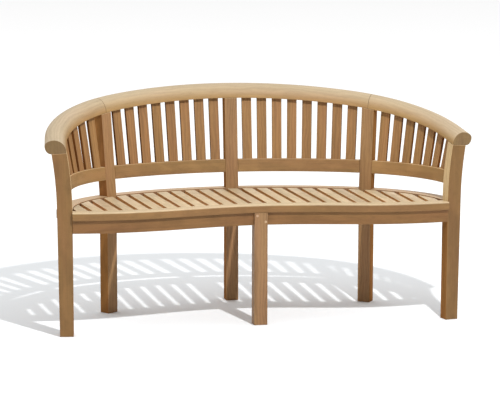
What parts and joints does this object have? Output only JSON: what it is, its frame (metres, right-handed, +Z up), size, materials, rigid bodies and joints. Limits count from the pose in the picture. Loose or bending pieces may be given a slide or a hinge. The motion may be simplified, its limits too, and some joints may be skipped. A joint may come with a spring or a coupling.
{
  "type": "curved garden bench",
  "caption": "Curved garden bench in solid teak: an S-shaped slatted seat on six legs, and a slatted back whose rounded top rail sweeps down to become both arms.",
  "frame": {"origin": "Middle of the footprint, on the ground under the legs.", "axes": "+X runs to the right as seen from the front, +Y runs from the open front towards the back, +Z is up."},
  "size_m": [1.5252, 0.6574, 0.8242],
  "materials": {
    "teak_post": "sanded teak, unoiled",
    "teak_top_rail": "sanded teak, unoiled",
    "teak_lower_rail": "sanded teak, unoiled",
    "teak_back_slat": "sanded teak, unoiled",
    "teak_border": "sanded teak, unoiled",
    "teak_seat": "sanded teak, unoiled",
    "teak_apron": "sanded teak, unoiled"
  },
  "bodies": {
    "root": {"arm_post_left": "teak_post", "arm_post_right": "teak_post", "side_back_post_left": "teak_post", "centre_back_post": "teak_post", "side_back_post_right": "teak_post", "centre_front_leg": "teak_post", "top_rail_left_arm": "teak_top_rail", "top_rail_back": "teak_top_rail", "top_rail_right_arm": "teak_top_rail", "lower_back_rail_left_arm": "teak_lower_rail", "back_slat_left_arm_1": "teak_back_slat", "back_slat_left_arm_2": "teak_back_slat", "back_slat_left_arm_3": "teak_back_slat", "back_slat_left_arm_4": "teak_back_slat", "back_slat_left_arm_5": "teak_back_slat", "back_slat_left_arm_6": "teak_back_slat", "back_slat_left_arm_7": "teak_back_slat", "back_apron_left_arm": "teak_apron", "seat_border_left_arm": "teak_border", "lower_back_rail_left_back": "teak_lower_rail", "back_slat_left_back_1": "teak_back_slat", "back_slat_left_back_2": "teak_back_slat", "back_slat_left_back_3": "teak_back_slat", "back_slat_left_back_4": "teak_back_slat", "back_slat_left_back_5": "teak_back_slat", "back_slat_left_back_6": "teak_back_slat", "back_slat_left_back_7": "teak_back_slat", "back_slat_left_back_8": "teak_back_slat", "back_apron_left_back": "teak_apron", "seat_border_left_back": "teak_border", "lower_back_rail_right_back": "teak_lower_rail", "back_slat_right_back_1": "teak_back_slat", "back_slat_right_back_2": "teak_back_slat", "back_slat_right_back_3": "teak_back_slat", "back_slat_right_back_4": "teak_back_slat", "back_slat_right_back_5": "teak_back_slat", "back_slat_right_back_6": "teak_back_slat", "back_slat_right_back_7": "teak_back_slat", "back_slat_right_back_8": "teak_back_slat", "back_apron_right_back": "teak_apron", "seat_border_right_back": "teak_border", "lower_back_rail_right_arm": "teak_lower_rail", "back_slat_right_arm_1": "teak_back_slat", "back_slat_right_arm_2": "teak_back_slat", "back_slat_right_arm_3": "teak_back_slat", "back_slat_right_arm_4": "teak_back_slat", "back_slat_right_arm_5": "teak_back_slat", "back_slat_right_arm_6": "teak_back_slat", "back_slat_right_arm_7": "teak_back_slat", "back_apron_right_arm": "teak_apron", "seat_border_right_arm": "teak_border", "seat_front_rail_and_slats": "teak_seat", "front_apron_left": "teak_apron", "front_apron_right": "teak_apron", "centre_bearer": "teak_apron"}
  },
  "joints": []
}
